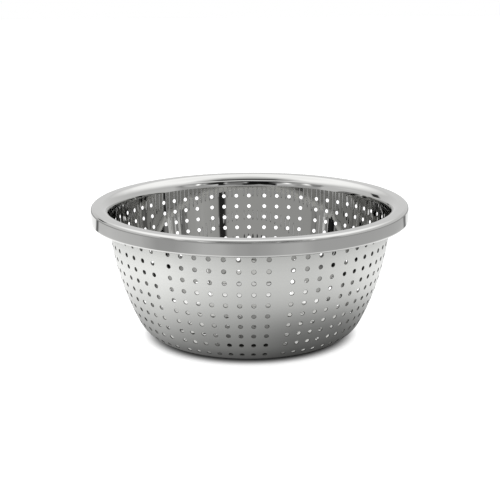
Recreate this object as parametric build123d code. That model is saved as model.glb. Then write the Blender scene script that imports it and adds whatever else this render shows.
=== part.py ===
"""A deep steel colander: a punched bowl, a rolled rim band hooked over its edge and a wire in the band's bead.

Millimetres, +Z up. The origin is the middle of the flat base, on the surface that the colander stands on.
"""

from build123d import *
from build123d.topology import SkipClean

import math
import os

# Overall sizes
RIM_RADIUS = 160.0  # outside of the rim's upright skirt
HEIGHT = 135.5  # from the base to the flat top of the rim

# Bowl: outside of the pressed shell
BOWL_SHEET = 0.8
WALL_RADIUS_AT_RIM = 142.4  # outside of the wall, carried up to the level of the rim's top
WALL_ARC_RADIUS = 257.7  # the wall's gentle curve, upright at the level of the rim's top
BASE_CORNER_RADIUS = 33.25  # between the wall and the flat base
SHOULDER_RADIUS = 9.5  # inside the rim, where the wall turns out into the flat top

# Rim band: rolled from thinner sheet and hooked over the bowl's turned-out edge
BAND_SHEET = 0.6
BAND_HEIGHT = 16.3  # from the foot of the bead to the flat top
BAND_CORNER_RADIUS = 3.5  # between the flat top and the skirt
LIP_DEPTH = 12.0  # how far the lip reaches down inside the bowl
CURL_ANGLE = 300.0  # how far the bead is rolled round its wire
WIRE_DIAMETER = 2.8
SEAT_CLEARANCE = 0.1  # between the band, the bowl's flange and the wire

# Drain holes in the wall: upright columns in groups, in rows round the bowl
HOLE_DIAMETER = 4.2
FIRST_ROW_DEPTH = 23.0  # from the level of the rim's top, along the wall
ROW_PITCH_SHARE = 0.09705  # of the wall's arc length, so that all the rows stay on it
ROW_COUNT = 10
CORNER_STRETCH_SHARE = 1.25  # the rows lie further apart where the sheet is drawn round the corner
GROUP_COUNT = 15
COLUMNS_IN_GROUP = 4
COLUMN_ANGLE = 5.7
FIRST_GROUP_ANGLE = -82.0  # from the front, -Y, towards +X
GROUP_SLIP_SHARES = (0.0, 0.0, 0.27, 0.02, 0.58, 0.49, 0.2, -0.07, -0.33, -0.6, -0.42, -0.38, -0.33, -0.22, -0.09)
HOLE_EDGE_MARGIN = 0.2  # plain sheet between a group's outer holes and the edge of its sector

# Drain holes in the base: one in the middle, and rings round it
BASE_RING_COUNT = 6
RING_PITCH_SHARE = 0.142  # of the flat base's radius
HOLES_IN_FIRST_RING = 6

CUT_OVERRUN = 2.0
TOUCHING = 0.001  # ends of edges this near to each other are one point
FULL_TURN = 360.0
QUARTER_TURN = 90.0

# Places that follow from the sizes above: the arcs' centres in the section, as radius and height
HOLE_RADIUS = HOLE_DIAMETER / 2
BOWL_INNER_DEPTH = BAND_SHEET + SEAT_CLEARANCE  # the bowl's sheet below the band's visible surface
BOWL_OUTER_DEPTH = BOWL_INNER_DEPTH + BOWL_SHEET
LIP_ARC_RADIUS = WALL_ARC_RADIUS - BOWL_OUTER_DEPTH
WALL_CENTRE = (WALL_RADIUS_AT_RIM - WALL_ARC_RADIUS, HEIGHT)
CORNER_CENTRE = (
    WALL_CENTRE[0] + math.sqrt((WALL_ARC_RADIUS - BASE_CORNER_RADIUS) ** 2 - (HEIGHT - BASE_CORNER_RADIUS) ** 2),
    BASE_CORNER_RADIUS,
)
SHOULDER_CENTRE = (
    WALL_CENTRE[0] + math.sqrt((LIP_ARC_RADIUS + SHOULDER_RADIUS) ** 2 - SHOULDER_RADIUS**2),
    HEIGHT - SHOULDER_RADIUS,
)
BAND_CORNER_CENTRE = (RIM_RADIUS - BAND_CORNER_RADIUS, HEIGHT - BAND_CORNER_RADIUS)
BEAD_RADIUS = WIRE_DIAMETER / 2 + SEAT_CLEARANCE + BAND_SHEET
BEAD_CENTRE = (RIM_RADIUS - BEAD_RADIUS, HEIGHT - BAND_HEIGHT + BEAD_RADIUS)
BASE_RADIUS = CORNER_CENTRE[0]

# Angles in the section, measured down from the outward direction, where one arc meets the next
WALL_FOOT_ANGLE = math.degrees(math.atan2(HEIGHT - CORNER_CENTRE[1], CORNER_CENTRE[0] - WALL_CENTRE[0]))
SHOULDER_ANGLE = math.degrees(math.atan2(SHOULDER_RADIUS, SHOULDER_CENTRE[0] - WALL_CENTRE[0]))
LIP_ANGLE = math.degrees(math.asin(LIP_DEPTH / LIP_ARC_RADIUS))
WALL_ARC_LENGTH = WALL_ARC_RADIUS * math.radians(WALL_FOOT_ANGLE)
ROW_PITCH = WALL_ARC_LENGTH * ROW_PITCH_SHARE
BASE_RING_PITCH = BASE_RADIUS * RING_PITCH_SHARE


def section_point(place):
    """A point of the upright section, from its radius and height."""
    return Vector(place[0], 0, place[1])


def arc_point(centre, radius, drop):
    """The point of an arc whose direction from the centre drops by that angle below outward."""
    turn = math.radians(drop)
    return (centre[0] + radius * math.cos(turn), centre[1] - radius * math.sin(turn))


def section_arc(centre, radius, first_drop, last_drop):
    """An arc of the section between two drop angles."""
    middle_drop = (first_drop + last_drop) / 2
    drops = (first_drop, middle_drop, last_drop)
    return ThreePointArc([section_point(arc_point(centre, radius, drop)) for drop in drops])


def joined_up(edges):
    """The edges with straight lines from each one's end to the next one's start, and closed."""
    chain = []
    for edge, following in zip(edges, edges[1:] + edges[:1]):
        chain.append(edge)
        if (edge @ 1 - following @ 0).length > TOUCHING:
            chain.append(Line(edge @ 1, following @ 0))
    return chain


def turned(upper, lower, angle=FULL_TURN):
    """The solid between two surfaces of the section, turned about the upright axis."""
    return revolve(make_face(joined_up(lower + backwards(upper))), Axis.Z, angle)


def backwards(edges):
    """The same edges, each the other way round and in the other order."""
    return [edge.reversed() for edge in reversed(edges)]


def wall_surface(depth):
    """The bowl's corner and wall in section, at a depth below the band's visible surface."""
    outside = BOWL_OUTER_DEPTH - depth
    return [
        section_arc(CORNER_CENTRE, BASE_CORNER_RADIUS - outside, QUARTER_TURN, WALL_FOOT_ANGLE),
        section_arc(WALL_CENTRE, WALL_ARC_RADIUS - outside, WALL_FOOT_ANGLE, SHOULDER_ANGLE),
    ]


def flange_surface(depth):
    """The shoulder and the flat in section, at a depth below the band's visible surface."""
    return [
        section_arc(SHOULDER_CENTRE, SHOULDER_RADIUS - depth, SHOULDER_ANGLE + 2 * QUARTER_TURN, 3 * QUARTER_TURN),
        Line(
            section_point((SHOULDER_CENTRE[0], HEIGHT - depth)),
            section_point((BAND_CORNER_CENTRE[0], HEIGHT - depth)),
        ),
    ]


def band_surface(depth):
    """The band's section at a depth below its visible surface, from the lip's edge to the bead's end."""
    return [
        section_arc(WALL_CENTRE, LIP_ARC_RADIUS + depth, LIP_ANGLE, SHOULDER_ANGLE),
        *flange_surface(depth),
        section_arc(BAND_CORNER_CENTRE, BAND_CORNER_RADIUS - depth, -QUARTER_TURN, 0),
        Line(
            section_point((RIM_RADIUS - depth, BAND_CORNER_CENTRE[1])),
            section_point((RIM_RADIUS - depth, BEAD_CENTRE[1])),
        ),
        section_arc(BEAD_CENTRE, BEAD_RADIUS - depth, 0, CURL_ANGLE),
    ]


def wall_place(length):
    """The outside point of the wall and its drop angle at a length along it from the level of the rim's top."""
    beyond = length - WALL_ARC_LENGTH
    if beyond <= 0:
        drop = math.degrees(length / WALL_ARC_RADIUS)
        return arc_point(WALL_CENTRE, WALL_ARC_RADIUS, drop), drop
    drop = WALL_FOOT_ANGLE + math.degrees(beyond * CORNER_STRETCH_SHARE / BASE_CORNER_RADIUS)
    return arc_point(CORNER_CENTRE, BASE_CORNER_RADIUS, drop), drop


def wall_punches(first_angle):
    """The cutters for one group of the wall's holes, each square to the sheet where it passes through."""
    punch = Cylinder(HOLE_RADIUS, BOWL_SHEET + 2 * CUT_OVERRUN)
    punches = []
    for row in range(ROW_COUNT):
        (radius, height), drop = wall_place(FIRST_ROW_DEPTH + row * ROW_PITCH)
        square = Location((radius, 0, height)) * Location((0, 0, 0), (0, QUARTER_TURN + drop, 0))
        for column in range(COLUMNS_IN_GROUP):
            around = Location((0, 0, 0), (0, 0, first_angle + column * COLUMN_ANGLE))
            punches.append(around * square * punch)
    return punches


def base_punches():
    """The cutters for the base's holes: one in the middle, and rings that each gain as many holes as the first has."""
    punch = Cylinder(HOLE_RADIUS, BOWL_SHEET + 2 * CUT_OVERRUN)
    punches = [Location((0, 0, BOWL_SHEET / 2)) * punch]
    for ring in range(1, BASE_RING_COUNT + 1):
        count = ring * HOLES_IN_FIRST_RING
        radius = ring * BASE_RING_PITCH
        for place in range(count):
            turn = math.radians(FULL_TURN * place / count)
            punches.append(Location((radius * math.cos(turn), radius * math.sin(turn), BOWL_SHEET / 2)) * punch)
    return punches


def wall_sectors():
    """The corner and wall all round: a punched sector for each group of holes, and a plain one after it."""
    (lowest_radius, _), _ = wall_place(FIRST_ROW_DEPTH + (ROW_COUNT - 1) * ROW_PITCH)
    margin = math.degrees((HOLE_RADIUS + HOLE_EDGE_MARGIN) / lowest_radius)
    width = (COLUMNS_IN_GROUP - 1) * COLUMN_ANGLE + 2 * margin
    group_angle = FULL_TURN / GROUP_COUNT
    spare = group_angle - width
    lower = wall_surface(BOWL_OUTER_DEPTH)
    upper = wall_surface(BOWL_INNER_DEPTH)
    punched = turned(upper, lower, width) - wall_punches(margin)
    slips = [GROUP_SLIP_SHARES[group % len(GROUP_SLIP_SHARES)] for group in range(GROUP_COUNT)]
    sectors = []
    for group, (slip, following) in enumerate(zip(slips, slips[1:] + slips[:1])):
        start = FIRST_GROUP_ANGLE - QUARTER_TURN - margin + group * group_angle + slip * spare
        gap = spare * (1 + following - slip)
        sectors.append(Location((0, 0, 0), (0, 0, start)) * punched)
        sectors.append(Location((0, 0, 0), (0, 0, start + width)) * turned(upper, lower, gap))
    return sectors


def make_bowl():
    """The pressed shell with its flat base, curved wall, turned-out flange and drain holes."""
    base = Location((0, 0, BOWL_SHEET / 2)) * Cylinder(BASE_RADIUS, BOWL_SHEET) - base_punches()
    flange = turned(flange_surface(BOWL_INNER_DEPTH), flange_surface(BOWL_OUTER_DEPTH))
    with SkipClean():
        return base.fuse(flange, *wall_sectors())


def make_rim_band():
    """The rolled ring: lip, shoulder, flat top, corner, skirt and the bead round the wire."""
    return turned(band_surface(0), band_surface(BAND_SHEET))


def make_rim_wire():
    """The wire ring inside the bead."""
    return Location((0, 0, BEAD_CENTRE[1])) * Torus(BEAD_CENTRE[0], WIRE_DIAMETER / 2)


def main():
    """Write one file for each piece."""
    os.makedirs("parts", exist_ok=True)
    pieces = {"bowl": make_bowl(), "rim_band": make_rim_band(), "rim_wire": make_rim_wire()}
    for name, piece in pieces.items():
        export_step(piece, f"parts/{name}.step", write_pcurves=False)


main()
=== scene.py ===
"""A punched steel colander with a rolled rim, dressed round its CAD frame on a pale studio floor.

Metres, +Z up, -Y towards the camera. Angles round the bowl are measured from -Y towards +X. A place on the
bowl's sheet is given by that angle and by its length along the outside, from the level of the rim's top down
to the base.
"""

import math

import bmesh
import bpy
from bpy.props import FloatProperty, FloatVectorProperty, IntProperty, PointerProperty
from mathutils import Matrix, Vector


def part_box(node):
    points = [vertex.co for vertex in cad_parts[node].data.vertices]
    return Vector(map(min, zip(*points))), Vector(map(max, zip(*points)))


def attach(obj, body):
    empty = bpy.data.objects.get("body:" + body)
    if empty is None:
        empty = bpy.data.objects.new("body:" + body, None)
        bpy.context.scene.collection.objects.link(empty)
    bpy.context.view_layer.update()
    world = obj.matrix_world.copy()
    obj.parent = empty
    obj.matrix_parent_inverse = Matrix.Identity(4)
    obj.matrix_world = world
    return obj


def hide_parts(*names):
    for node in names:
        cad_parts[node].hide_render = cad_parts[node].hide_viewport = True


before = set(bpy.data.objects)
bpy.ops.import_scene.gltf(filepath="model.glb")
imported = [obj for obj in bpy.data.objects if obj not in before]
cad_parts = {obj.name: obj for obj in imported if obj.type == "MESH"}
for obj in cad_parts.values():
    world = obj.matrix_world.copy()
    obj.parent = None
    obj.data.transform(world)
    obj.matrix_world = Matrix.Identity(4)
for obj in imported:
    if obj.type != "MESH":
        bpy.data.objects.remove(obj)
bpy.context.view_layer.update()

bl_info = {
    "name": "Punched Colander",
    "version": (1, 0, 0),
    "blender": (4, 5, 0),
    "location": "View3D > Sidebar > Colander",
    "description": "Makes a punched steel colander with a rolled rim and its studio",
    "category": "Add Mesh",
}

RIM_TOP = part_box("rim_band")[1].z
MM = 0.001
FULL_TURN = 2 * math.pi
QUARTER_TURN = math.pi / 2


# Sizes and finishes that a user would change

def length_property(name, description, default):
    """A length that the user can change."""
    return FloatProperty(name=name, description=description, default=default, unit="LENGTH")


def angle_property(name, description, degrees):
    """An angle that the user can change."""
    return FloatProperty(name=name, description=description, default=math.radians(degrees), unit="ROTATION")


def colour_property(name, description, default):
    """A colour that the user can change."""
    return FloatVectorProperty(
        name=name, description=description, default=default, subtype="COLOR", size=3, min=0, max=1
    )


def share_property(name, description, default):
    """A share between 0 and 1 that the user can change."""
    return FloatProperty(name=name, description=description, default=default, subtype="FACTOR", min=0, max=1)


class BowlSizes(bpy.types.PropertyGroup):
    """The pressed shell, measured on its outside"""

    sheet: length_property("Sheet", "Thickness of the bowl", 0.8 * MM)
    wall_radius: length_property("Wall radius", "Wall carried up to the rim's level", 142.4 * MM)
    wall_arc: length_property("Wall arc", "Radius of the wall's curve", 257.7 * MM)
    corner: length_property("Corner", "Radius from wall to base", 33.25 * MM)
    shoulder: length_property("Shoulder", "Radius inside the rim", 9.5 * MM)


class HoleSizes(bpy.types.PropertyGroup):
    """The drain holes"""

    diameter: length_property("Diameter", "Width of a hole", 4.2 * MM)
    first_row: length_property("First row", "Length down the wall to the first row", 23.0 * MM)
    row_pitch: length_property("Row pitch", "From row to row", 11.83 * MM)
    rows: IntProperty(name="Rows", description="Rows in the wall", default=10)
    corner_stretch: FloatProperty(name="Stretch", description="Of the pitch round the corner", default=1.25)
    groups: IntProperty(name="Groups", description="Groups of columns in the wall", default=15)
    columns: IntProperty(name="Columns", description="Columns in a group", default=4)
    column_angle: angle_property("Column angle", "From column to column", 5.7)
    first_angle: angle_property("First angle", "Where the first group starts", -82)
    edge_margin: length_property("Margin", "Plain sheet beside a group", 0.2 * MM)
    ring_pitch: length_property("Ring pitch", "From ring to ring", 12 * MM)
    rings: IntProperty(name="Rings", description="Rings in the base", default=6)
    first_ring: IntProperty(name="First ring", description="Holes in the innermost ring", default=6)
    rounding: length_property("Rounding", "Edge of a hole", 0.3 * MM)


class RimSizes(bpy.types.PropertyGroup):
    """The rolled band and its wire"""

    radius: length_property("Radius", "Outside of the skirt", 160 * MM)
    sheet: length_property("Sheet", "Thickness of the band", 0.6 * MM)
    height: length_property("Height", "From bead to flat top", 16.3 * MM)
    corner: length_property("Corner", "From top to skirt", 3.5 * MM)
    lip: length_property("Lip", "Depth inside the bowl", 12.0 * MM)
    curl: angle_property("Curl", "Turn of the bead", 300)
    wire: length_property("Wire", "Diameter of the wire", 2.8 * MM)
    clearance: length_property("Clearance", "Between the pieces", 0.1 * MM)


class SteelFinishes(bpy.types.PropertyGroup):
    """The colours and finishes of the steel"""

    satin: colour_property("Satin", "Outside of the bowl", (0.565, 0.57, 0.555))
    satin_roughness: share_property("Satin roughness", "Outside of the bowl", 0.3)
    polish: colour_property("Polish", "Inside of the bowl and the rim", (0.56, 0.56, 0.55))
    polish_roughness: share_property("Polish roughness", "Inside of the bowl and the rim", 0.012)
    # near-black cut: a duller sheared edge, darkened further with painted shade of the holes
    cut: colour_property("Cut", "Edges of the holes", (0.09, 0.09, 0.085))
    cut_roughness: share_property("Cut roughness", "Edges of the holes", 0.4)
    wire: colour_property("Wire", "Wire inside the rim", (0.45, 0.45, 0.44))
    wire_roughness: share_property("Wire roughness", "Wire inside the rim", 0.4)


class StudioSettings(bpy.types.PropertyGroup):
    """The floor and the camera"""

    floor_size: length_property("Floor", "Side of the floor", 8.0)
    camera_height: length_property("Camera height", "Above the rim's flat top", 288.36 * MM)
    camera_distance: length_property("Camera distance", "In front of the bowl's axis", 1316.04 * MM)
    camera_aside: length_property("Aside", "Beside the axis", 0.17 * MM)
    camera_pitch: angle_property("Pitch", "Below level", 14.405)
    camera_roll: angle_property("Roll", "About the view", -0.386)
    lens: FloatProperty(name="Lens", description="Focal length on a 36 mm sensor", default=95.85, min=1)


# The section of the bowl and the rim

class Section:
    """The bowl's outside and the rim's visible surface, as arcs about their centres."""

    def __init__(self, bowl, rim):
        self.bowl = bowl
        self.rim = rim
        self.outer_depth = rim.sheet + rim.clearance + bowl.sheet
        self.lip_arc = bowl.wall_arc - self.outer_depth
        self.wall_centre = Vector((bowl.wall_radius - bowl.wall_arc, 0, RIM_TOP))
        reach = math.sqrt((bowl.wall_arc - bowl.corner) ** 2 - (RIM_TOP - bowl.corner) ** 2)
        self.corner_centre = Vector((self.wall_centre.x + reach, 0, bowl.corner))
        reach = math.sqrt((self.lip_arc + bowl.shoulder) ** 2 - bowl.shoulder**2)
        self.shoulder_centre = Vector((self.wall_centre.x + reach, 0, RIM_TOP - bowl.shoulder))
        self.band_corner_centre = Vector((rim.radius - rim.corner, 0, RIM_TOP - rim.corner))
        bead_radius = rim.wire / 2 + rim.clearance + rim.sheet
        self.bead_centre = Vector((rim.radius - bead_radius, 0, RIM_TOP - rim.height + bead_radius))
        self.wall_foot = self.drop(self.wall_centre, self.corner_centre)
        self.wall_top = self.drop(self.wall_centre, self.shoulder_centre)
        self.shoulder_radius = bowl.shoulder - self.outer_depth
        self.shoulder_start = bowl.wall_arc * self.wall_top
        self.flange_start = self.shoulder_start - self.shoulder_radius * (QUARTER_TURN - self.wall_top)
        self.flange_end = self.flange_start - (self.band_corner_centre.x - self.shoulder_centre.x)
        self.corner_start = bowl.wall_arc * self.wall_foot
        self.base_start = self.corner_start + bowl.corner * (QUARTER_TURN - self.wall_foot)
        self.axis = self.base_start + self.corner_centre.x

    @staticmethod
    def drop(centre, place):
        """How far the direction from the centre to a place drops below outward."""
        return math.atan2(centre.z - place.z, place.x - centre.x)

    @staticmethod
    def on_arc(centre, radius, drop):
        """The point of an arc, as radius and height, where the direction from its centre drops that far."""
        return centre.x + radius * math.cos(drop), centre.z - radius * math.sin(drop)

    def place(self, length):
        """The outside's radius and height at a length along it."""
        if length < self.flange_start:
            return self.shoulder_centre.x + self.flange_start - length, RIM_TOP - self.outer_depth
        if length < self.shoulder_start:
            turned = (self.shoulder_start - length) / self.shoulder_radius
            return self.on_arc(self.shoulder_centre, self.shoulder_radius, math.pi + self.wall_top + turned)
        if length < self.corner_start:
            return self.on_arc(self.wall_centre, self.bowl.wall_arc, length / self.bowl.wall_arc)
        if length < self.base_start:
            turned = (length - self.corner_start) / self.bowl.corner
            return self.on_arc(self.corner_centre, self.bowl.corner, self.wall_foot + turned)
        return max(0.0, self.axis - length), 0.0

    def point(self, angle, length):
        """The outside's point at an angle round the bowl and a length along it."""
        radius, height = self.place(length)
        return Vector((radius * math.sin(angle), -radius * math.cos(angle), height))

    def outward(self, place):
        """The sheet's outward normal near a point of the bowl."""
        level = Vector((math.hypot(place.x, place.y), 0, place.z))
        drop = self.drop(self.wall_centre, level)
        away = Vector((0, 0, -1))
        if level.x >= self.corner_centre.x:
            if drop > self.wall_foot:
                away = (level - self.corner_centre).normalized()
            elif drop > self.wall_top:
                away = (level - self.wall_centre).normalized()
            elif level.x < self.shoulder_centre.x:
                away = (self.shoulder_centre - level).normalized()
        if level.x < MM:
            return away
        return Vector((away.x * place.x / level.x, away.x * place.y / level.x, away.z))


# Steps for any mesh

JOIN_DIST = MM / 100  # vertices this near to each other are one
EDGE_SEGMENTS = 2  # of each rounded edge


def link_piece(name, bm, materials):
    """An object for a finished bmesh, with smooth faces and its materials."""
    mesh = bpy.data.meshes.new(name)
    for face in bm.faces:
        face.smooth = True
    bm.to_mesh(mesh)
    bm.free()
    piece = bpy.data.objects.new(name, mesh)
    bpy.context.scene.collection.objects.link(piece)
    for material in materials:
        mesh.materials.append(material)
    return piece


def finish_piece(piece, node):
    """Puts a finished piece in place of its CAD node."""
    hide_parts(node)
    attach(piece, "root")


def line_to(bm, vert, place):
    """Draws a straight edge from the end of a profile and returns its new end."""
    end = bmesh.ops.extrude_vert_indiv(bm, verts=[vert])["verts"][0]
    end.co = place
    return end


def arc_to(bm, vert, centre, turn, steps):
    """Draws an arc in the XZ plane from a profile's end, downwards from outward, and returns its new end."""
    drawn = bmesh.ops.spin(
        bm, geom=[vert], cent=centre, axis=(0, 1, 0), angle=turn, steps=steps,
        use_merge=False, use_duplicate=False,
    )
    return next(part for part in drawn["geom_last"] if isinstance(part, bmesh.types.BMVert))


def spin_round(bm, steps):
    """Turns a profile all round the Z axis and merges where it closes."""
    bmesh.ops.spin(
        bm, geom=bm.verts[:] + bm.edges[:], cent=(0, 0, 0), axis=(0, 0, 1), angle=FULL_TURN, steps=steps,
        use_merge=True, use_duplicate=False,
    )
    bmesh.ops.remove_doubles(bm, verts=bm.verts, dist=JOIN_DIST)
    bmesh.ops.recalc_face_normals(bm, faces=bm.faces)


def thicken(bm, sample, upward, thickness, least_crease, rounding):
    """Turns all faces so that a sample face looks up, or down where upward is -1. Then thickens the sheet
    behind them, and rounds the edges where two faces meet at more than the least crease."""
    if sample.normal.z * upward < 0:
        bmesh.ops.reverse_faces(bm, faces=bm.faces)
    bmesh.ops.solidify(bm, geom=bm.faces[:], thickness=thickness)
    creases = [
        edge for edge in bm.edges
        if len(edge.link_faces) == 2 and edge.calc_face_angle() > least_crease
    ]
    bmesh.ops.bevel(
        bm, geom=creases, offset=rounding, offset_type="OFFSET", segments=EDGE_SEGMENTS, profile=0.5,
        affect="EDGES", material=-1,
    )


def leaning(normal, drop):
    """A normal turned in its own upright plane, until it drops below level by an angle."""
    level = math.hypot(normal.x, normal.y)
    if level < MM:
        return normal.copy()
    share = math.cos(drop) / level
    return Vector((normal.x * share, normal.y * share, -math.sin(drop)))


# The bowl

GROUP_SLIP_SHARES = (
    0.0, 0.0, 0.27, 0.02, 0.58, 0.49, 0.2, -0.07, -0.33, -0.6, -0.42, -0.38, -0.33, -0.22, -0.09,
)  # how far each group of holes has slipped, of the plain sheet between two groups
RING_CELL_SHARE = 0.84  # of the ring pitch that a hole's cell takes
FLANGE_ROWS = 3  # grid rows over the flange
SHOULDER_ROWS = 8
UPPER_WALL_ROWS = 3  # from the shoulder to the holes
CORNER_ROWS = 7  # from the holes to the base
QUAD_CORNERS = 4
GRID_DIGITS = 7  # decimals that tell two grid lines apart
CELL_INSET = MM / 100  # a sliver, which gives each cell an inner ring of corners for its hole
NEAR_CIRCLE = 0.3 * MM  # edges of the base this near to a circle lie on it
BASE_HEIGHT = MM / 10  # faces lower than this are in the flat base
HOLE_CREASE = math.radians(50)  # least angle at the edge of a hole
SQUARE_ON = 0.98  # least cosine between the normals of the sheet and of a face that lies in it
STRAIGHTER_WALL = 0.75  # of the wall's slope in the polished inside's reflections
OUTSIDE, INSIDE, CUT_EDGE = range(3)  # the bowl's materials


def cell_lines(centres, first, last):
    """Grid lines for cells with a hole in each: at the holes, midway between them, and midway to those."""
    borders = [first] + [(a + b) / 2 for a, b in zip(centres, centres[1:])] + [last]
    lines = [first]
    for centre, low, high in zip(centres, borders, borders[1:]):
        lines += [(low + centre) / 2, centre, (centre + high) / 2, high]
    return lines


def spread(first, last, count):
    """Evenly spaced values after the first, up to the last."""
    return [first + (last - first) * (step + 1) / count for step in range(count)]


def square_direction(across, along):
    """The direction of a point on the edge of a square, evenly spread, as an angle from across to along."""
    eighth = math.pi / 4
    if abs(across) >= abs(along):
        return eighth * along if across > 0 else math.pi - eighth * along
    return QUARTER_TURN - eighth * across if along > 0 else 3 * QUARTER_TURN + eighth * across


class SheetGrid:
    """A grid over a stretch of the sheet, laid flat as angle and length, that holes are cut into."""

    CELL = 4  # grid steps across a hole's cell

    def __init__(self, angles, lengths):
        self.bm = bmesh.new()
        self.angles = angles
        bmesh.ops.create_grid(self.bm, x_segments=len(angles) - 1, y_segments=len(lengths) - 1, size=1)
        self.bm.verts.ensure_lookup_table()
        for index, vert in enumerate(self.bm.verts):
            row, column = divmod(index, len(angles))
            vert.co = (angles[column], lengths[row], 0)

    def cut_holes(self, first_line, last_line, rim_place):
        """Opens a round hole in each cell between two lines. rim_place gives a point of a hole's edge, from
        the hole's centre and a direction."""
        inside = []
        for index, vert in enumerate(self.bm.verts):
            row, column = divmod(index, len(self.angles))
            if first_line < row < last_line and (row - first_line) % self.CELL and column % self.CELL:
                inside.append(vert)
        bmesh.ops.dissolve_verts(self.bm, verts=inside)
        cells = [face for face in self.bm.faces if len(face.verts) > QUAD_CORNERS]
        spans = [self.cell_span(face) for face in cells]
        bmesh.ops.inset_individual(self.bm, faces=cells, thickness=CELL_INSET)
        for face, span in zip(cells, spans):
            self.round_off(face, span, rim_place)
        bmesh.ops.delete(self.bm, geom=cells, context="FACES_ONLY")

    @staticmethod
    def cell_span(face):
        """A cell's hole, at its middle grid lines, and its left, right, low and high edges."""
        columns = sorted({round(vert.co.x, GRID_DIGITS) for vert in face.verts})
        rows = sorted({round(vert.co.y, GRID_DIGITS) for vert in face.verts})
        middle = SheetGrid.CELL // 2
        return Vector((columns[middle], rows[middle], 0)), columns[0], columns[-1], rows[0], rows[-1]

    @staticmethod
    def round_off(face, span, rim_place):
        """Moves the inner ring of a cell's corners onto the hole's edge, each in its partner's direction."""
        centre, left, right, low, high = span
        for vert in face.verts:
            partner = next(edge.other_vert(vert) for edge in vert.link_edges if edge not in face.edges)
            across = partner.co.x - centre.x
            along = partner.co.y - centre.y
            across /= (right - centre.x) if across > 0 else (centre.x - left)
            along /= (high - centre.y) if along > 0 else (centre.y - low)
            vert.co = rim_place(centre, square_direction(across, along))

    def rolled_up(self, point):
        """Maps the flat grid to the sheet, joins its ends and gives its bmesh."""
        for vert in self.bm.verts:
            vert.co = point(vert.co.x, vert.co.y)
        bmesh.ops.remove_doubles(self.bm, verts=self.bm.verts, dist=JOIN_DIST)
        return self.bm


def row_length(section, holes, row):
    """The length down the wall of a row of holes, with the pitch stretched round the corner."""
    length = holes.first_row + row * holes.row_pitch
    beyond = max(0.0, length - section.corner_start)
    return length + beyond * (holes.corner_stretch - 1)


def column_angles(section, holes):
    """The angles of the wall's columns of holes, group by group."""
    lowest_radius, _ = section.place(row_length(section, holes, holes.rows - 1))
    margin = (holes.diameter / 2 + holes.edge_margin) / lowest_radius
    spare = FULL_TURN / holes.groups - (holes.columns - 1) * holes.column_angle - 2 * margin
    angles = []
    for group in range(holes.groups):
        slip = GROUP_SLIP_SHARES[group % len(GROUP_SLIP_SHARES)]
        start = holes.first_angle + group * FULL_TURN / holes.groups + slip * spare
        angles += [start + column * holes.column_angle for column in range(holes.columns)]
    return angles


def wall_grid(section, holes):
    """The flange, shoulder, wall and corner, with the wall's holes."""
    columns = column_angles(section, holes)
    seam = (columns[-1] - FULL_TURN + columns[0]) / 2
    angles = cell_lines(columns, seam, seam + FULL_TURN)
    rows = [row_length(section, holes, row) for row in range(holes.rows)]
    top = rows[0] - holes.row_pitch / 2
    bottom = rows[-1] + holes.row_pitch / 2
    lengths = [section.flange_end]
    lengths += spread(section.flange_end, section.flange_start, FLANGE_ROWS)
    lengths += spread(section.flange_start, section.shoulder_start, SHOULDER_ROWS)
    lengths += spread(section.shoulder_start, top, UPPER_WALL_ROWS)
    first_line = len(lengths) - 1
    lengths += cell_lines(rows, top, bottom)[1:]
    last_line = len(lengths) - 1
    lengths += spread(bottom, section.base_start, CORNER_ROWS)
    grid = SheetGrid(angles, lengths)

    def rim_place(centre, direction):
        along = holes.diameter / 2 * math.sin(direction)
        radius, _ = section.place(centre.y + along)
        return centre.x + holes.diameter / 2 * math.cos(direction) / radius, centre.y + along, 0

    grid.cut_holes(first_line, last_line, rim_place)
    return grid.rolled_up(section.point)


def base_ring(section, holes, ring):
    """One ring of the base's holes, with a little plain sheet on both sides."""
    count = ring * holes.first_ring
    step = FULL_TURN / count
    columns = [QUARTER_TURN + place * step for place in range(count)]
    angles = cell_lines(columns, columns[0] - step / 2, columns[-1] + step / 2)
    middle = section.axis - ring * holes.ring_pitch
    half = holes.ring_pitch * RING_CELL_SHARE / 2
    grid = SheetGrid(angles, cell_lines([middle], middle - half, middle + half))

    def rim_place(centre, direction):
        across = holes.diameter / 2 * math.cos(direction)
        outward = section.axis - centre.y - holes.diameter / 2 * math.sin(direction)
        return centre.x + math.atan2(across, outward), section.axis - math.hypot(across, outward), 0

    grid.cut_holes(0, SheetGrid.CELL, rim_place)
    return grid.rolled_up(section.point)


def add_mesh(bm, other):
    """Copies a bmesh into another one and frees it."""
    mesh = bpy.data.meshes.new("joined")
    other.to_mesh(mesh)
    other.free()
    bm.from_mesh(mesh)
    bpy.data.meshes.remove(mesh)


def open_loop(bm, radius):
    """The open edges of the base that lie on a circle about the axis."""
    def on_circle(place):
        return abs(math.hypot(place.x, place.y) - radius) < NEAR_CIRCLE and place.z < NEAR_CIRCLE

    return [
        edge for edge in bm.edges
        if len(edge.link_faces) < 2 and all(on_circle(vert.co) for vert in edge.verts)
    ]


def close_base(bm, section, holes):
    """Adds the base's rings of holes, bridges them inwards from the corner, and draws in the middle hole."""
    for ring in range(1, holes.rings + 1):
        add_mesh(bm, base_ring(section, holes, ring))
    half = holes.ring_pitch * RING_CELL_SHARE / 2
    outer = section.corner_centre.x
    for ring in range(holes.rings, 0, -1):
        middle = ring * holes.ring_pitch
        bmesh.ops.bridge_loops(bm, edges=open_loop(bm, outer) + open_loop(bm, middle + half))
        outer = middle - half
    for part in bmesh.ops.extrude_edge_only(bm, edges=open_loop(bm, outer))["geom"]:
        if isinstance(part, bmesh.types.BMVert):
            part.co *= holes.diameter / 2 / outer


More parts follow.
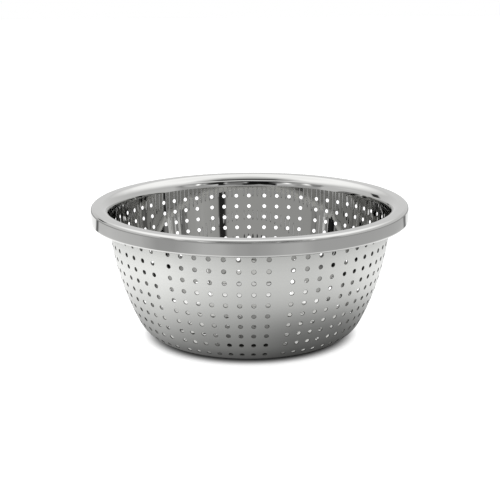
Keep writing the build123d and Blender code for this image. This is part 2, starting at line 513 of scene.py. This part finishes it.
def bowl_mesh(section, holes):
    """The whole pressed shell: the outside sheet, joined up, then given its thickness and edges."""
    bm = wall_grid(section, holes)
    close_base(bm, section, holes)
    bmesh.ops.remove_doubles(bm, verts=bm.verts, dist=JOIN_DIST)
    bmesh.ops.recalc_face_normals(bm, faces=bm.faces)
    underneath = next(face for face in bm.faces if face.calc_center_median().z < BASE_HEIGHT)
    thicken(bm, underneath, -1, section.bowl.sheet, HOLE_CREASE, holes.rounding)
    return bm


def sort_bowl_faces(bm, section):
    """Gives each face its finish: satin outside, mirror inside, or the cut edge of a hole."""
    for face in bm.faces:
        facing = face.normal.dot(section.outward(face.calc_center_median()))
        if facing > SQUARE_ON:
            face.material_index = OUTSIDE
        elif facing < -SQUARE_ON:
            face.material_index = INSIDE
        else:
            face.material_index = CUT_EDGE


def mirror_lean(section, normal):
    """The drop of the mirror inside's shading normal, where the sheet has an outward normal: a share of the
    wall's own drop, which catches up round the corner, so that the base stays level."""
    drop = math.asin(max(-1, min(1, -normal.z)))
    foot = section.wall_foot
    if drop <= foot:
        return drop * STRAIGHTER_WALL
    stretch = (QUARTER_TURN - foot * STRAIGHTER_WALL) / (QUARTER_TURN - foot)
    return QUARTER_TURN - (QUARTER_TURN - drop) * stretch


def shade_by_section(mesh, section):
    """Gives the outside the smooth normals of the section, and the mirror inside those of a straighter wall,
    so that reflections run on without facets. A zero normal keeps the mesh's own."""
    normals = [Vector((0, 0, 0))] * len(mesh.loops)
    for polygon in mesh.polygons:
        if polygon.material_index == CUT_EDGE:
            continue
        for loop in polygon.loop_indices:
            outward = section.outward(mesh.vertices[mesh.loops[loop].vertex_index].co)
            if polygon.material_index == INSIDE:
                outward = -leaning(outward, mirror_lean(section, outward))
            normals[loop] = outward
    mesh.normals_split_custom_set(normals)


# The rim band and its wire

RIM_STEPS = 320  # round the band
LIP_STEPS = 5
SHOULDER_STEPS = 14
FLAT_SHARES = (0.02, 0.3, 0.6, 0.98, 1.0)  # edge loops along the flat top
CORNER_STEPS = 10
SKIRT_SHARES = (0.02, 0.35, 0.65, 0.98, 1.0)  # edge loops down the skirt
BEAD_STEPS = 22
BAND_CREASE = math.radians(60)  # least angle at the band's edges
BAND_ROUNDING_SHARE = 0.25  # of its sheet
WIRE_SIDES = 14
WIRE_STEPS = 200
LIP_RISE = math.radians(8.8)  # of the lip's shading normal above level, at the lip's foot
LIP_TWIST = math.radians(0.9)  # how much more it rises at the lip's top
SHOULDER_HURRY = 1.35  # powers over 1 turn the normals slowly at first and faster near the flat
CORNER_HURRY = 1.3


def band_profile(bm, section):
    """Draws the rim band's visible surface, from the lip's foot to the end of the bead."""
    rim = section.rim
    lip_drop = math.asin(rim.lip / section.lip_arc)
    radius, height = section.on_arc(section.wall_centre, section.lip_arc, lip_drop)
    vert = bmesh.ops.create_vert(bm, co=(radius, 0, height))["vert"][0]
    vert = arc_to(bm, vert, section.wall_centre, section.wall_top - lip_drop, LIP_STEPS)
    vert = arc_to(bm, vert, section.shoulder_centre, QUARTER_TURN - section.wall_top, SHOULDER_STEPS)
    flat_start = Vector((section.shoulder_centre.x, 0, RIM_TOP))
    flat_end = Vector((section.band_corner_centre.x, 0, RIM_TOP))
    for share in FLAT_SHARES:
        vert = line_to(bm, vert, flat_start.lerp(flat_end, share))
    vert = arc_to(bm, vert, section.band_corner_centre, QUARTER_TURN, CORNER_STEPS)
    skirt_top = vert.co.copy()
    skirt_foot = Vector((rim.radius, 0, section.bead_centre.z))
    for share in SKIRT_SHARES:
        vert = line_to(bm, vert, skirt_top.lerp(skirt_foot, share))
    arc_to(bm, vert, section.bead_centre, rim.curl, BEAD_STEPS)


def band_mesh(section):
    """The rim band: its profile turned round, then given its thickness and rounded edges."""
    bm = bmesh.new()
    band_profile(bm, section)
    spin_round(bm, RIM_STEPS)
    sheet = section.rim.sheet
    flat_top = max(bm.faces, key=lambda face: face.calc_center_median().z)
    thicken(bm, flat_top, 1, sheet, BAND_CREASE, sheet * BAND_ROUNDING_SHARE)
    return bm


def wire_mesh(section):
    """The closed wire ring inside the bead."""
    bm = bmesh.new()
    start = section.bead_centre + Vector((section.rim.wire / 2, 0, 0))
    vert = bmesh.ops.create_vert(bm, co=start)["vert"][0]
    arc_to(bm, vert, section.bead_centre, FULL_TURN, WIRE_SIDES)
    bmesh.ops.remove_doubles(bm, verts=bm.verts, dist=JOIN_DIST)
    spin_round(bm, WIRE_STEPS)
    return bm


def lip_rise(section, radius, height):
    """The rise of the lip's and the shoulder's shading normal at a radius and height."""
    shoulder = section.shoulder_centre
    foot = RIM_TOP - section.rim.lip
    climb = max(0.0, math.atan2(height - shoulder.z, shoulder.x - radius))
    below = min(1.0, (height - foot) / (shoulder.z - foot))
    rise = LIP_RISE + LIP_TWIST * below
    return rise + (QUARTER_TURN - rise) * (climb / QUARTER_TURN) ** SHOULDER_HURRY


def corner_rise(section, radius, height):
    """The rise of the outer corner's shading normal at a radius and height."""
    corner = section.band_corner_centre
    climb = math.atan2(height - corner.z, radius - corner.x)
    return QUARTER_TURN * (climb / QUARTER_TURN) ** CORNER_HURRY


def shade_band(mesh, section):
    """Turns the reflections of the lip, the shoulder and the corner faster near the flat, as on
    hand-finished rolls. A zero normal keeps the mesh's own."""
    shoulder, corner = section.shoulder_centre, section.band_corner_centre
    normals = [Vector((0, 0, 0))] * len(mesh.loops)
    for polygon in mesh.polygons:
        if polygon.normal.z <= 0:
            continue
        centre = polygon.center
        radius = math.hypot(centre.x, centre.y)
        outward = polygon.normal.x * centre.x + polygon.normal.y * centre.y >= 0
        if not outward and radius < shoulder.x and centre.z > RIM_TOP - section.rim.lip:
            rise, side = lip_rise, -1
        elif outward and radius > corner.x and centre.z > corner.z:
            rise, side = corner_rise, 1
        else:
            continue
        for loop in polygon.loop_indices:
            place = mesh.vertices[mesh.loops[loop].vertex_index].co
            turned = rise(section, math.hypot(place.x, place.y), place.z)
            normals[loop] = leaning(Vector((place.x, place.y, 0)) * side, -turned)
    mesh.normals_split_custom_set(normals)


# Shader nodes

class Socket:
    """An output socket of a node tree. Arithmetic on it adds Math nodes, and node() adds any other node."""

    def __init__(self, tree, output=None):
        self.tree = tree
        self.output = output

    def node(self, kind, settings=None, values=None, output=0):
        """Adds a node with its settings, then the values or links of its sockets, and gives one output."""
        node = self.tree.nodes.new(kind)
        for name, setting in (settings or {}).items():
            if name == "stops":
                set_stops(node.color_ramp, setting)
            else:
                setattr(node, name, setting)
        for name, value in (values or {}).items():
            if isinstance(value, Socket):
                self.tree.links.new(value.output, node.inputs[name])
            else:
                node.inputs[name].default_value = value
        return Socket(self.tree, node.outputs[output] if node.outputs else None)

    def sibling(self, name):
        """Another output of the same node."""
        return Socket(self.tree, self.output.node.outputs[name])

    def math(self, operation, *values):
        """This value and others through a Math node."""
        return self.node("ShaderNodeMath", {"operation": operation}, dict(enumerate((self, *values))))

    def __add__(self, other):
        return self.math("ADD", other)

    def __sub__(self, other):
        return self.math("SUBTRACT", other)

    def __mul__(self, other):
        return self.math("MULTIPLY", other)

    def __truediv__(self, other):
        return self.math("DIVIDE", other)

    def __rsub__(self, other):
        return self.math("MULTIPLY", -1).math("ADD", other)

    __radd__ = __add__
    __rmul__ = __mul__

    def ramp(self, stops):
        """This value through a ramp of greys."""
        return self.node("ShaderNodeValToRGB", {"stops": stops}, {"Fac": self})

    def step(self, low, high):
        """Rises smoothly from 0 to 1 between two values."""
        return self.node(
            "ShaderNodeMapRange", {"interpolation_type": "SMOOTHSTEP"},
            {"Value": self, "From Min": low, "From Max": high},
        )

    def towards(self, other, share):
        """A value between this one and another."""
        return self + (other - self) * share


def set_stops(ramp, stops):
    """Gives a ramp its stops, as positions in rising order with a grey for each."""
    while len(ramp.elements) < len(stops):
        ramp.elements.new(1.0)
    for element, (position, grey) in zip(ramp.elements, stops):
        element.position = position
        element.color = (grey, grey, grey, 1)


FRONT = 0.5  # the share of a full turn, begun at the back, that points at the camera
TURN_DEGREES = 360


def round_stops(values):
    """Ramp stops for greys by azimuth in degrees, from behind by way of left, front and right."""
    return [(FRONT + azimuth / TURN_DEGREES, grey) for azimuth, grey in values]


def azimuth_share(across, along):
    """The azimuth of a place as a share of the full turn."""
    return across.math("ARCTAN2", along * -1) / FULL_TURN + FRONT


def radius_of(across, along):
    """How far a place lies from the upright axis."""
    return (across * across + along * along).math("SQRT")


def new_tree(owner):
    """The emptied node tree of a material or a world."""
    owner.use_nodes = True
    owner.node_tree.nodes.clear()
    return Socket(owner.node_tree)


def vector(shade, across, along, down):
    """A vector of three values."""
    return shade.node("ShaderNodeCombineXYZ", {}, {"X": across, "Y": along, "Z": down})


def noise(shade, place, scale, detail):
    """A noise value about 0.5 over a vector."""
    values = {"Vector": place, "Scale": scale, "Detail": detail, "Roughness": 0.5}
    return shade.node("ShaderNodeTexNoise", {}, values)


def bump(shade, height, distance, strength=1.0):
    """A normal that follows a height between 0 and 1, over a depth in metres."""
    values = {"Strength": strength, "Distance": distance, "Height": height}
    return shade.node("ShaderNodeBump", {}, values)


# Finishes of the steel

# Scales are in features per metre, and depths in metres
BRUSH_DOWN = 1900  # fine lines down the sheet
BRUSH_ROUND = 9  # changes along each line
BRUSH_DEPTH = 0.02 * MM
BRUSH_STRENGTH = 0.12
BRUSH_ROUGHNESS = 0.1  # how much the lines change the roughness
CLOUD_SCALE = 22.0
CLOUD_ROUGHNESS = 0.04  # how much the cloudy patches change it
RIPPLE_ROUND = 7  # upright ripples per radian
RIPPLE_DOWN = 4
RIPPLE_DEPTH = 1.4 * MM
RIPPLE_START = (0.1, 0.125)  # radii between which the ripples come in
RIPPLE_LEAST = 0.005  # share of their depth that is left across the rolling direction
HAZE_SCALE = 60.0
HAZE_ROUGHNESS = 0.01
WAVE_SCALE = 55.0
WAVE_DEPTH = 0.15 * MM


def steel(name, colour, roughness, texture=None):
    """Bare steel with a colour, a roughness and, where texture is given, its grain or waviness."""
    material = bpy.data.materials.new(name)
    shade = new_tree(material)
    values = {"Base Color": (*colour, 1), "Metallic": 1.0, "Roughness": roughness}
    if texture:
        values.update(texture(shade, roughness))
    shader = shade.node("ShaderNodeBsdfPrincipled", {}, values)
    shade.node("ShaderNodeOutputMaterial", {}, {"Surface": shader})
    return material


def sheet_places(shade):
    """Object coordinates, and how far down the sheet they lie: height and radius fall together from the rim
    to the axis."""
    across = shade.node("ShaderNodeSeparateXYZ", {}, {0: shade.node("ShaderNodeTexCoord", output="Object")})
    along, height = across.sibling("Y"), across.sibling("Z")
    return across, along, height + radius_of(across, along)


def haze(shade, roughness, place):
    """The roughness of a polish that is a little hazy in patches."""
    return roughness + noise(shade, place, HAZE_SCALE, detail=2.0) * HAZE_ROUGHNESS


def brushed(shade, roughness):
    """Fine lines that run round the bowl, under faint cloudy patches."""
    across, along, down = sheet_places(shade)
    lines = vector(shade, across * BRUSH_ROUND, along * BRUSH_ROUND, down * BRUSH_DOWN)
    grain = noise(shade, lines, scale=1.0, detail=2.0)
    clouds = noise(shade, vector(shade, across, along, down), CLOUD_SCALE, detail=2.0)
    middle = roughness - (BRUSH_ROUGHNESS + CLOUD_ROUGHNESS) / 2
    return {
        "Roughness": middle + grain * BRUSH_ROUGHNESS + clouds * CLOUD_ROUGHNESS,
        "Normal": bump(shade, grain, BRUSH_DEPTH, BRUSH_STRENGTH),
    }


def wavy(shade, roughness):
    """Polish over drawn sheet: a haze, and upright ripples on the wall, strong along the sheet's rolling
    direction."""
    across, along, down = sheet_places(shade)
    radius = radius_of(across, along)
    aside, ahead = across / radius, along / radius
    upright = vector(shade, aside * RIPPLE_ROUND, ahead * RIPPLE_ROUND, down * RIPPLE_DOWN)
    rolling = aside.math("POWER", 2)
    ripples = noise(shade, upright, scale=1.0, detail=0.5) * radius.step(*RIPPLE_START)
    return {
        "Roughness": haze(shade, roughness, vector(shade, across, along, down)),
        "Normal": bump(shade, ripples * (RIPPLE_LEAST + rolling * rolling), RIPPLE_DEPTH),
    }


def rolled(shade, roughness):
    """Polish over a rolled band: a haze, and slow waves round the rim."""
    place = vector(shade, *sheet_places(shade))
    return {
        "Roughness": haze(shade, roughness, place),
        "Normal": bump(shade, noise(shade, place, WAVE_SCALE, detail=1.0), WAVE_DEPTH),
    }


# The stage

SENSOR_WIDTH = 36.0  # of the camera, in millimetres

# The floor that the camera sees, with a painted shadow under the bowl. Radii are in metres from the bowl's
# axis
# painted shadow: the floor's base colour and its glow to the camera are darker under the bowl, out to these
# radii
PAINTED_SHADOW_EDGE = (0.093, 0.113)  # radii between which the shadow under the bowl fades out
PAINTED_SHADOW_FLOOR = 0.3  # base colour under the bowl
PALE_FLOOR = 0.8  # and round it
CLOSE_GLOW = 0.62  # light that the floor gives near the bowl
FAR_GLOW = 0.35  # and far from it
GLOW_RADII = (0.1, 0.6)

# Painted floor light and shadow that the steel mirrors: greys by radius, and strengths by azimuth in degrees
FLOOR_BY_RADIUS = (
    (0.08, 0.05), (0.1, 0.155), (0.12, 0.31), (0.15, 0.55), (0.2, 0.95), (0.27, 1.15), (0.35, 1.05),
    (0.45, 0.82), (0.6, 0.62), (0.7, 0.6), (0.78, 0.46),
)
CLOSE_FLOOR = (
    (-180, 1.0), (-120, 1.5), (-60, 1.7), (-25, 1.15), (0, 0.95), (25, 0.65), (60, 0.65), (90, 1.0),
    (180, 1.0),
)
NEAR_FLOOR = (
    (-180, 1.1), (-120, 1.3), (-60, 1.42), (-25, 1.13), (0, 0.97), (40, 0.97), (90, 1.2), (180, 1.1),
)
FAR_FLOOR = (
    (-180, 1.9), (-130, 1.9), (-128.5, 0.3), (-124.5, 0.3), (-122.5, 1.2), (-106, 1.33), (-73, 1.18),
    (-60, 0.84), (-48, 0.84), (-38, 1.0), (-28, 1.18), (-18, 1.15), (-8, 0.93), (2, 0.86), (11, 0.93),
    (21, 1.07), (31, 1.12), (41, 0.95), (60, 0.95), (94, 1.0), (129, 1.05), (131.5, 0.4), (135, 0.4),
    (137, 1.6), (180, 1.9),
)
NEAR_RADII = (0.13, 0.2)  # radii between which each pattern gives way to the next
FAR_RADII = (0.35, 0.55)
PLAIN_RADII = (0.7, 0.8)

# The studio's surround from low to high, as greys by azimuth in degrees or by the upward part of a direction
LOW_BY_AZIMUTH = ((-180, 0.83), (-66, 0.83), (-60, 0.55), (60, 0.55), (68, 0.83), (180, 0.83))
BARS_BY_AZIMUTH = (
    (-180, 0.85), (-141, 0.85), (-137, 0.05), (-128, 0.05), (-125, 0.83), (-66, 0.83), (-64, 0.3),
    (-56, 0.3), (-53, 1.0), (-44, 0.4), (-38, 0.8), (-24, 0.83), (-22, 0.01), (5, 0.01), (7, 0.27),
    (20, 0.27), (21, 0.01), (27, 0.01), (28, 0.9), (42, 0.45), (52, 0.9), (60, 0.4), (68, 0.83), (180, 0.83),
)
WALLS_BY_AZIMUTH = (
    (-180, 0.85), (-141, 0.85), (-137, 0.05), (-128, 0.05), (-125, 0.82), (-95, 0.97), (-69, 0.8),
    (-66, 0.38), (-55, 0.4), (-51, 1.75), (-46, 0.55), (-38, 0.6), (-33, 1.8), (-27, 0.5), (-17, 0.01),
    (1, 0.01), (3, 0.6), (6, 0.27), (18, 0.27), (20, 1.0), (22, 0.02), (28, 0.02), (36, 0.04), (39, 0.8),
    (42, 0.5), (45, 2.3), (48, 0.7), (57, 0.72), (62, 0.4), (69, 0.8), (180, 0.85),
)
SOFT_BOX_BY_HEIGHT = ((0.36, 0.85), (0.5, 1.15), (0.64, 1.52), (0.78, 1.62), (0.92, 1.5))
FRONT_BY_HEIGHT = (
    (0.3, 0.01), (0.42, 0.01), (0.46, 1.0), (0.57, 1.0), (0.61, 0.01), (0.7, 0.02), (0.76, 0.4),
    (0.86, 0.65), (0.99, 1.2),
)
FRONT_SHARE_BY_AZIMUTH = ((-62, 0.0), (-24, 1.0), (28, 1.0), (66, 0.0))
BARS_HEIGHT = (0.113, 0.122)  # upward parts between which each band gives way to the next
WALLS_HEIGHT = (0.16, 0.19)
CEILING_HEIGHT = (0.3, 0.34)


def make_floor(studio):
    """The pale floor: white where the camera looks at it, but for a painted shadow under the bowl, and a
    studio's floor of painted light and shadow that glows in the steel."""
    bm = bmesh.new()
    bmesh.ops.create_grid(bm, x_segments=1, y_segments=1, size=studio.floor_size / 2)
    material = bpy.data.materials.new("pale_floor")
    shade = new_tree(material)
    seen = shade.node("ShaderNodeLightPath", output="Is Camera Ray")
    mirrored = seen.sibling("Is Glossy Ray")
    across = shade.node("ShaderNodeSeparateXYZ", {}, {0: shade.node("ShaderNodeTexCoord", output="Object")})
    along = across.sibling("Y")
    radius = radius_of(across, along)
    turn = azimuth_share(across, along)
    # painted shadow: clear is 0 under the bowl, where the base colour darkens and the glow to the camera
    # stops
    clear = radius.step(*PAINTED_SHADOW_EDGE)
    glow = clear * (CLOSE_GLOW - radius.step(*GLOW_RADII) * (CLOSE_GLOW - FAR_GLOW))
    close, near, far = (turn.ramp(round_stops(values)) for values in (CLOSE_FLOOR, NEAR_FLOOR, FAR_FLOOR))
    around = close.towards(near, radius.step(*NEAR_RADII)).towards(far, radius.step(*FAR_RADII))
    around = around.towards(1.0, radius.step(*PLAIN_RADII))
    # painted reflection: the floor glows this light and shadow for glossy rays only, darkest next to the
    # bowl
    painted_floor_glow = radius.ramp(FLOOR_BY_RADIUS) * around
    values = {
        "Base Color": (1 - mirrored) * (PAINTED_SHADOW_FLOOR + clear * (PALE_FLOOR - PAINTED_SHADOW_FLOOR)),
        "Roughness": 1.0,
        "Specular IOR Level": 0.0,
        "Emission Color": seen * glow + mirrored * painted_floor_glow,
        "Emission Strength": 1.0,
    }
    shader = shade.node("ShaderNodeBsdfPrincipled", {}, values)
    shade.node("ShaderNodeOutputMaterial", {}, {"Surface": shader})
    floor = link_piece("pale_floor", bm, [material])


def make_world():
    """The studio round the bowl: white to the camera. The steel and the floor see a low band, dark bars,
    walls, and a ceiling of soft boxes that has strips of its own in front."""
    world = bpy.data.worlds.new("studio_light")
    shade = new_tree(world)
    seen = shade.node("ShaderNodeLightPath", output="Is Camera Ray")
    direction = shade.node("ShaderNodeTexCoord", output="Generated")
    across = shade.node("ShaderNodeSeparateXYZ", {}, {0: direction})
    along, height = across.sibling("Y"), across.sibling("Z")
    turn = azimuth_share(across, along)
    low, bars, walls, front = (
        turn.ramp(round_stops(values))
        for values in (LOW_BY_AZIMUTH, BARS_BY_AZIMUTH, WALLS_BY_AZIMUTH, FRONT_SHARE_BY_AZIMUTH)
    )
    ceiling = height.ramp(SOFT_BOX_BY_HEIGHT).towards(height.ramp(FRONT_BY_HEIGHT), front)
    studio = low.towards(bars, height.step(*BARS_HEIGHT))
    studio = studio.towards(walls, height.step(*WALLS_HEIGHT))
    studio = studio.towards(ceiling, height.step(*CEILING_HEIGHT))
    shader = shade.node("ShaderNodeBackground", {}, {"Color": studio.towards(1.0, seen), "Strength": 1.0})
    shade.node("ShaderNodeOutputWorld", {}, {"Surface": shader})
    bpy.context.scene.world = world


def make_camera(studio):
    """The camera, at the viewing angle of the photograph."""
    lens = bpy.data.cameras.new("camera")
    lens.sensor_width = SENSOR_WIDTH
    lens.lens = studio.lens
    camera = bpy.data.objects.new("camera", lens)
    bpy.context.scene.collection.objects.link(camera)
    camera.location = (studio.camera_aside, -studio.camera_distance, RIM_TOP + studio.camera_height)
    pitch = Matrix.Rotation(QUARTER_TURN - studio.camera_pitch, 4, "X")
    roll = Matrix.Rotation(studio.camera_roll, 4, "Z")
    camera.rotation_euler = (pitch @ roll).to_euler()
    bpy.context.scene.camera = camera


# Operators and panel

class COLANDER_OT_stage(bpy.types.Operator):
    """Make the floor, the light and the camera"""

    bl_idname = "colander.stage"
    bl_label = "Stage"

    def execute(self, context):
        scene = context.scene
        make_floor(scene.colander_studio)
        make_world()
        make_camera(scene.colander_studio)
        scene.view_settings.view_transform = "Standard"
        return {"FINISHED"}


class COLANDER_OT_bowl(bpy.types.Operator):
    """Make the punched bowl"""

    bl_idname = "colander.bowl"
    bl_label = "Bowl"

    def execute(self, context):
        scene = context.scene
        section = Section(scene.colander_bowl, scene.colander_rim)
        finish = scene.colander_finish
        bm = bowl_mesh(section, scene.colander_holes)
        sort_bowl_faces(bm, section)
        materials = [
            steel("satin_outside", finish.satin, finish.satin_roughness, brushed),
            steel("mirror_inside", finish.polish, finish.polish_roughness, wavy),
            # the cut edges carry painted shade of the holes in their near-black colour
            steel("cut_edge_painted_shade", finish.cut, finish.cut_roughness),
        ]
        piece = link_piece("punched_bowl", bm, materials)
        shade_by_section(piece.data, section)
        finish_piece(piece, "bowl")
        return {"FINISHED"}


class COLANDER_OT_rim(bpy.types.Operator):
    """Make the rolled rim band and its wire"""

    bl_idname = "colander.rim"
    bl_label = "Rim"

    def execute(self, context):
        scene = context.scene
        section = Section(scene.colander_bowl, scene.colander_rim)
        finish = scene.colander_finish
        polish = steel("rim_polish", finish.polish, finish.polish_roughness, rolled)
        band = link_piece("rolled_rim_band", band_mesh(section), [polish])
        shade_band(band.data, section)
        finish_piece(band, "rim_band")
        drawn = steel("wire_steel", finish.wire, finish.wire_roughness)
        wire = link_piece("rim_wire_ring", wire_mesh(section), [drawn])
        finish_piece(wire, "rim_wire")
        return {"FINISHED"}


class VIEW3D_PT_colander(bpy.types.Panel):
    """Lists the colander's sizes and the operators that make its pieces"""

    bl_label = "Colander"
    bl_space_type = "VIEW_3D"
    bl_region_type = "UI"
    bl_category = "Colander"

    def draw(self, context):
        layout = self.layout
        for name, _ in SETTINGS:
            box = layout.box()
            group = getattr(context.scene, name)
            for prop in group.bl_rna.properties:
                if not prop.is_readonly and prop.identifier != "name":
                    box.prop(group, prop.identifier)
        for operator in OPERATORS:
            layout.operator(operator.bl_idname)


SETTINGS = (
    ("colander_bowl", BowlSizes),
    ("colander_holes", HoleSizes),
    ("colander_rim", RimSizes),
    ("colander_finish", SteelFinishes),
    ("colander_studio", StudioSettings),
)
OPERATORS = (COLANDER_OT_stage, COLANDER_OT_bowl, COLANDER_OT_rim)


def register():
    """Adds the settings, the operators and the panel."""
    for name, group in SETTINGS:
        bpy.utils.register_class(group)
        setattr(bpy.types.Scene, name, PointerProperty(type=group))
    for item in (*OPERATORS, VIEW3D_PT_colander):
        bpy.utils.register_class(item)


def unregister():
    """Takes them away again."""
    for item in (VIEW3D_PT_colander, *reversed(OPERATORS)):
        bpy.utils.unregister_class(item)
    for name, group in reversed(SETTINGS):
        delattr(bpy.types.Scene, name)
        bpy.utils.unregister_class(group)


def main():
    """Makes the stage and the pieces."""
    register()
    bpy.ops.colander.stage()
    bpy.ops.colander.bowl()
    bpy.ops.colander.rim()


if __name__ == "__main__":
    main()
